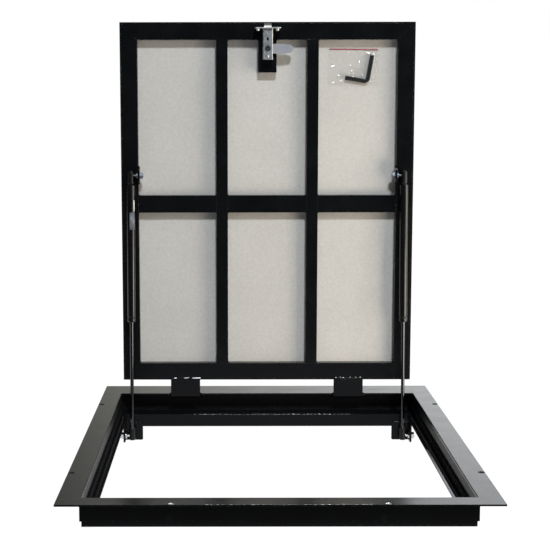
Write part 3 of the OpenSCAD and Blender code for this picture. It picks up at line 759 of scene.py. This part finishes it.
# powder grain about 0.8 mm across, coarser than the real one so that it shows
sintered = grained(
    "oiled_sintered_steel",
    "#3a3d40",
    "#5a5e62",
    scale=1200,
    detail=3,
    values={"Roughness": 0.42, "Metallic": 0.5},
    edge=0.0004,
)
dress(sintered, "latch_hub")
coil = bmesh.new()
bmesh.ops.create_circle(
    coil,
    segments=8,
    radius=wire_radius,
    matrix=Matrix.Translation(coil_foot + Vector((coil_radius, 0, 0)))
    @ Matrix.Rotation(math.radians(90), 4, "X"),
)
bmesh.ops.spin(
    coil,
    geom=coil.verts[:] + coil.edges[:],
    cent=coil_foot,
    axis=(0, 0, 1),
    dvec=(0, 0, coil_rise / coil_steps),
    angle=math.radians(coil_turns * 360),
    steps=coil_steps,
)
bmesh.ops.edgeloop_fill(coil, edges=[edge for edge in coil.edges if edge.is_boundary])
bmesh.ops.recalc_face_normals(coil, faces=coil.faces)
spring = piece("coiled_spring", coil, sintered, "lid")
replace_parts(spring, "latch_spring")
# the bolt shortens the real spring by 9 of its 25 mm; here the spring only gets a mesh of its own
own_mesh(spring)


# Case rivet and cap
# The domed, polished head of the rivet that closes the latch case, and a black
# rubber dome over the case's fixing hole, painted shade for the dark of the hole.
def dome(height, size):
    """A dome on the front of the latch case, cut flat inside the case's wall."""
    case_front, case_inside = 0.363, 0.3634
    shape = bmesh.new()
    bmesh.ops.create_uvsphere(
        shape,
        u_segments=32,
        v_segments=16,
        radius=1,
        matrix=Matrix.Translation((0, case_front, height)) @ Matrix.Diagonal((*size, 1)),
    )
    bmesh.ops.bisect_plane(
        shape,
        geom=shape.verts[:] + shape.edges[:] + shape.faces[:],
        plane_co=(0, case_inside, 0),
        plane_no=(0, 1, 0),
        clear_outer=True,
    )
    open_edges = [edge for edge in shape.edges if edge.is_boundary]
    bmesh.ops.edgeloop_fill(shape, edges=open_edges)
    return shape


polish, tree, shader = finish("polished_zinc_rivet")
gloss = spread(tree, grain(tree, scale=900, detail=2), smooth=0.22, rough=0.34)
feed(tree, shader, {"Base Color": linear("#e6e8ea"), "Metallic": 1}, {"Roughness": (gloss, 0)})
rivet_shape = dome(height=0.755, size=(0.0029, 0.0019, 0.0029))
piece("case_rivet", rivet_shape, polish, "lid")
# painted shade: a black dome where the case's hole is dark
slot_shade_shape = dome(height=0.7925, size=(0.0028, 0.0016, 0.0034))
piece("case_slot_shade", slot_shade_shape, seal, "lid")

# Key-hole plug
# A soft grey plug pushed into the board's key hole from above, with a stem that
# ends inside the hub. It keeps screed out, and is pulled out for the key.
key_hole_z = 0.772
plug_radius = 0.0068
plug_low, plug_high = 0.4085, 0.4186
plug_middle = (plug_low + plug_high) / 2
plug_rim = 0.0012
plug_dish = 0.0012
plug_way = Matrix.Rotation(math.radians(-90), 4, "X")
plug_shape = bmesh.new()
bmesh.ops.create_cone(
    plug_shape,
    cap_ends=True,
    segments=48,
    radius1=plug_radius,
    radius2=plug_radius,
    depth=plug_high - plug_low,
    matrix=Matrix.Translation((0, plug_middle, key_hole_z)) @ plug_way,
)
caps = [face for face in plug_shape.faces if len(face.verts) > 4]
bmesh.ops.inset_region(plug_shape, faces=caps, thickness=plug_rim)
middles = [face for face in plug_shape.faces if len(face.verts) > 4]
for middle in middles:
    inward = -plug_dish if middle.normal.y > 0 else plug_dish
    bmesh.ops.translate(plug_shape, vec=(0, inward, 0), verts=middle.verts)
stem_low, stem_high = 0.3662, plug_low + 0.002
stem_middle = (stem_high + stem_low) / 2
bmesh.ops.create_cone(
    plug_shape,
    cap_ends=True,
    segments=32,
    radius1=0.0027,
    radius2=0.0032,
    depth=stem_high - stem_low,
    matrix=Matrix.Translation((0, stem_middle, key_hole_z)) @ plug_way,
)
edges = [edge for edge in plug_shape.edges if edge.calc_face_angle(0) > 1]
bmesh.ops.bevel(
    plug_shape,
    geom=edges,
    offset=0.0004,
    segments=2,
    profile=0.5,
    affect="EDGES",
    material=-1,
)
plug_rubber = grained(
    "soft_grey_rubber",
    "#484b4e",
    "#606366",
    scale=500,
    detail=4,
    values={"Roughness": 0.7},
)
piece("key_hole_plug", plug_shape, plug_rubber, "lid")

# Gas struts
# A polished black rod runs in a gloss black tube, with a moulded ball socket
# on each end.
rod_steel, tree, shader = finish("polished_nitrided_steel")
place = add(tree, "ShaderNodeTexCoord")
lines = add(tree, "ShaderNodeMapping", {"Scale": (900, 900, 8)}, {"Vector": (place, "Object")})
grind = add(tree, "ShaderNodeTexNoise", {"Scale": 1, "Detail": 2}, {"Vector": (lines, 0)})
gloss = spread(tree, grind, smooth=0.1, rough=0.2)
feed(tree, shader, {"Base Color": linear("#484b4e"), "Metallic": 1}, {"Roughness": (gloss, 0)})
dress(rod_steel, *both("strut_rod"))

tube_paint = enamel(
    "gloss_black_tube_paint",
    "#08090a",
    "#101113",
    smooth=0.14,
    rough=0.2,
    ior=1.4,
)
dress(tube_paint, *both("strut_tube"))

socket, tree, shader = finish("moulded_socket")
skin = grain(tree, scale=900, detail=2)
bump = relief(tree, skin, strength=0.2, distance=0.0002)
feed(
    tree,
    shader,
    {"Base Color": linear("#0b0c0e"), "Roughness": 0.36, "IOR": 1.36},
    {"Normal": (bump, 0)},
)
dress(socket, *both("strut_rod_end", "strut_tube_end"))

# Blank label
# A grey paper label round the front of the left gas strut's tube, and a narrow
# white paper strip above it on the tube's right side.
tube_radius = 0.00905
tube_foot = Vector((-0.302, 0.333, -0.082))
tube_head = Vector((-0.302, 0.376, 0.496))
tube_way = (tube_head - tube_foot).normalized()
paper_thickness = 0.0001


def wrap(low, length, middle, arc):
    """A strip of paper wrapped on the tube, its middle turned from the front to the right."""
    shape = bmesh.new()
    foot = tube_foot + tube_way * low
    forward = Matrix.Rotation(math.radians(middle), 3, "Z") @ Vector((0, -1, 0))
    forward = (forward - tube_way * forward.dot(tube_way)).normalized()
    corner = shape.verts.new(foot + forward * tube_radius)
    strip = bmesh.ops.extrude_vert_indiv(shape, verts=[corner])
    bmesh.ops.translate(shape, vec=tube_way * length, verts=corners_of(strip["verts"]))
    turn = Matrix.Rotation(math.radians(-arc / 2), 3, tube_way)
    bmesh.ops.rotate(shape, cent=foot, matrix=turn, verts=shape.verts)
    bmesh.ops.spin(
        shape,
        geom=shape.verts[:] + shape.edges[:],
        cent=foot,
        axis=tube_way,
        angle=math.radians(arc),
        steps=16,
    )
    bmesh.ops.recalc_face_normals(shape, faces=shape.faces)
    bmesh.ops.solidify(shape, geom=shape.faces, thickness=paper_thickness)
    return shape


label_paper = grained(
    "satin_label_paper",
    "#565b62",
    "#6c727a",
    scale=400,
    detail=4,
    values={"Roughness": 0.45},
)
label_shape = wrap(low=0.46, length=0.0378, middle=24, arc=84)
piece("strut_label", label_shape, label_paper, "strut_tube_left")
white_strip_finish = grained(
    "white_strip_paper",
    "#dcdee0",
    "#f2f3f4",
    scale=400,
    detail=4,
    values={"Roughness": 0.5},
)
white_strip_shape = wrap(low=0.5, length=0.025, middle=53, arc=17)
piece("white_strip_above_label", white_strip_shape, white_strip_finish, "strut_tube_left")

# Lid board
# Cement-bonded board, sanded: pale warm grey, cloudy, with fine dark flecks
# of wood in the cement.
board, tree, shader = finish("cement_bonded_board")
cement = blend(tree, "#bcbab6", "#cac8c4", (grain(tree, scale=9, detail=8), "Fac"))
# fibres matted in the cement, about 5 mm across
mottle = grain(tree, scale=190, detail=5)
feed(tree, mottle, {"Roughness": 0.62})
mottle_share = ramp(tree, (mottle, "Fac"), (0.35, 0.65), (0, 0.2))
mottled = cover(tree, cement, "#8c8882", (mottle_share, 0))
# flecks about 2 mm long, drawn a little coarser than the real ones
fleck = grain(tree, scale=420, detail=3)
fleck_share = ramp(tree, (fleck, "Fac"), (0.62, 0.7), (0, 0.6))
flecked = cover(tree, mottled, "#8f887b", (fleck_share, 0))
bump = relief(tree, fleck, strength=0.15, distance=0.0004)
feed(
    tree,
    shader,
    {"Roughness": 0.75},
    {"Base Color": (flecked, "Result"), "Normal": (bump, 0)},
)
dress(board, "lid_board")

# Release lever
# Moulded in natural nylon, milky and half clear.
nylon = grained(
    "natural_nylon",
    "#989ca6",
    "#abafb9",
    scale=80,
    detail=3,
    values={"Roughness": 0.38, "IOR": 1.53, "Transmission Weight": 0.35},
)
dress(nylon, "latch_lever")

# Hex key
# Hardened steel with an oiled black-oxide skin.
oxide = grained(
    "black_oxide_steel",
    "#0b0c0e",
    "#191b1e",
    scale=260,
    detail=4,
    values={"Roughness": 0.4, "Metallic": 0.3},
    edge=0.0004,
)
dress(oxide, "hex_key")

# Zip bag
# A clear film bag stuck to the board by its back. The key holds its front off
# like a tent, and the film creases from there to the sealed edges.
bag_left, bag_right = 0.1335, 0.2445
bag_low, bag_high = 0.6910, 0.7730
board_face = 0.4066
furthest_face = 0.3965
key_bend = Vector((0.2210, 0, 0.7010))
key_ends = (Vector((0.2311, 0, 0.7581)), Vector((0.1718, 0, 0.7097)))
air_height = 0.0032
tent_height = 0.0098
tent_reach = 0.016
key_half = 0.0045
seal_share = 0.06


def from_key(place):
    """How far a place in the bag's plane is from the key's middle line."""
    flat = Vector((place.x, 0, place.z))
    gaps = []
    for end in key_ends:
        leg = end - key_bend
        along = min(max((flat - key_bend).dot(leg) / leg.length_squared, 0), 1)
        gaps.append((flat - key_bend - leg * along).length)
    return min(gaps)


def creased_film(place):
    """How far the creased front film stands off the board, in metres."""
    across = (place.x - bag_left) / (bag_right - bag_left)
    up = (place.z - bag_low) / (bag_high - bag_low)
    seal_fade = min(1, min(across, 1 - across, up, 1 - up) / seal_share)
    bulge = max(0, math.sin(math.pi * across)) * max(0, math.sin(math.pi * up))
    air = air_height * bulge**0.5
    gap = from_key(place)
    tent = tent_height * max(0, 1 - max(0, gap - key_half) / tent_reach) ** 1.4
    crease_place = Vector((place.x * 42 + place.z * 90, 3, place.z * 34 - place.x * 60))
    crease = noise.noise(crease_place) * 0.0042 + noise.noise(crease_place * 2.7) * 0.0016
    # the film lies nearly smooth on the key
    if gap < key_half + 0.001:
        crease = abs(crease) * 0.1
    return seal_fade * max(0.0003, max(air, tent) + crease) + 0.0003


# flat facets of the film that mirror the main lamp: middle across and up, half
# length and half width in millimetres, and the turn of its length in degrees
facets = (
    (144.7, 735.0, 5.7, 2.0, 8),
    (157.8, 714.8, 3.5, 2.0, -25),
    (145.6, 699.6, 3.5, 1.5, 10),
    (162.6, 703.7, 4.8, 1.3, 40),
    (222.8, 764.1, 7.4, 1.5, -8),
    (234.0, 761.1, 3.5, 2.2, 10),
    (183.6, 737.2, 2.6, 1.3, 80),
    (186.7, 725.2, 2.6, 1.5, 60),
    (203.1, 744.8, 5.2, 1.3, 85),
    (209.7, 715.5, 2.2, 1.3, 60),
    (234.8, 747.0, 2.6, 1.3, 60),
)
facet_lean = 0.35
facet_edge = 7


def film_stand_off(place):
    """How far the front film stands off the board, with its flat facets."""
    off = creased_film(place)
    for across, up, half_length, half_width, turn in facets:
        middle = Vector((across, 0, up)) / 1000
        gap = place - middle
        cosine, sine = math.cos(math.radians(turn)), math.sin(math.radians(turn))
        along = (gap.x * cosine + gap.z * sine) * 1000 / half_length
        over = (gap.z * cosine - gap.x * sine) * 1000 / half_width
        share = math.exp(-((along**2 + over**2) ** facet_edge))
        if share > 0.001:
            flat = creased_film(middle) - facet_lean * gap.z
            off += (flat - off) * share
    return max(off, 0.0004)


film_shape = bmesh.new()
bag_middle = Vector(((bag_left + bag_right) / 2, board_face, (bag_low + bag_high) / 2))
bmesh.ops.create_grid(
    film_shape,
    x_segments=160,
    y_segments=120,
    size=0.5,
    matrix=Matrix.Translation(bag_middle)
    @ Matrix.Rotation(math.radians(90), 4, "X")
    @ Matrix.Diagonal((bag_right - bag_left, bag_high - bag_low, 1, 1)),
)
for corner in film_shape.verts:
    corner.co.y = max(furthest_face, board_face - film_stand_off(corner.co))
film, tree, shader = finish("clear_polythene_film")
gloss = spread(tree, grain(tree, scale=120, detail=4), smooth=0.06, rough=0.14)
# the film mirrors the lamp from both its faces, so its IOR is set high
feed(
    tree,
    shader,
    {"Base Color": linear("#46494b"), "IOR": 2.7, "Alpha": 0.06},
    {"Roughness": (gloss, 0)},
)
front_film = piece("bag_film", film_shape, film, "lid")
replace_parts(front_film, "key_bag")

# folds of the film on its facets, where it is doubled and glints more
fold_share = 0.7
fold_gap = 0.0002
fold_thickness = 0.00004
fold_shape = bmesh.new()
for across, up, half_length, half_width, turn in facets:
    middle = Vector((across, 0, up)) / 1000
    middle.y = board_face - film_stand_off(middle) - fold_gap
    fold = bmesh.ops.create_circle(
        fold_shape,
        cap_ends=True,
        segments=20,
        radius=fold_share / 1000,
        matrix=Matrix.Translation(middle)
        @ Matrix.Rotation(math.radians(90) - math.atan(facet_lean), 4, "X")
        @ Matrix.Rotation(math.radians(turn), 4, "Z")
        @ Matrix.Diagonal((half_length, half_width, 1, 1)),
    )["verts"]
    bmesh.ops.solidify(fold_shape, geom=faces_at(fold), thickness=fold_thickness)
folded, tree, shader = finish("folded_polythene_film")
gloss = spread(tree, grain(tree, scale=900, detail=3), smooth=0.14, rough=0.42)
feed(
    tree,
    shader,
    {"Base Color": linear("#c6c5c2"), "IOR": 1.8, "Alpha": 0.15},
    {"Roughness": (gloss, 0)},
)
piece("bag_folds", fold_shape, folded, "lid").data.shade_flat()

# the zip: a red rib pressed shut along the top of the bag
rib_radius = 0.0011
rib_steps = 60
rib_step = (bag_right - bag_left - 0.004) / rib_steps
rib_foot = (bag_left + 0.0035, board_face - 0.0012, bag_high - 0.0012)
rib_shape = bmesh.new()
rib = bmesh.ops.create_circle(
    rib_shape,
    segments=8,
    radius=rib_radius,
    matrix=Matrix.Translation(rib_foot) @ Matrix.Rotation(math.radians(90), 4, "Y"),
)["verts"]
rim = edges_at(rib)
bmesh.ops.contextual_create(rib_shape, geom=rim)
for step in range(rib_steps):
    rib, rim = grow(rib_shape, rim)
    bend = 0.00022 * math.sin(step * 0.55) + 0.00012 * math.sin(step * 1.7)
    bmesh.ops.translate(rib_shape, vec=(rib_step, bend, bend / 2 - 0.00002), verts=rib)
bmesh.ops.contextual_create(rib_shape, geom=rim)
bmesh.ops.recalc_face_normals(rib_shape, faces=rib_shape.faces)
zip_red = grained(
    "red_polythene_rib",
    "#6e1426",
    "#c4506a",
    scale=90,
    detail=3,
    values={"Roughness": 0.3},
)
piece("bag_zip", rib_shape, zip_red, "lid")
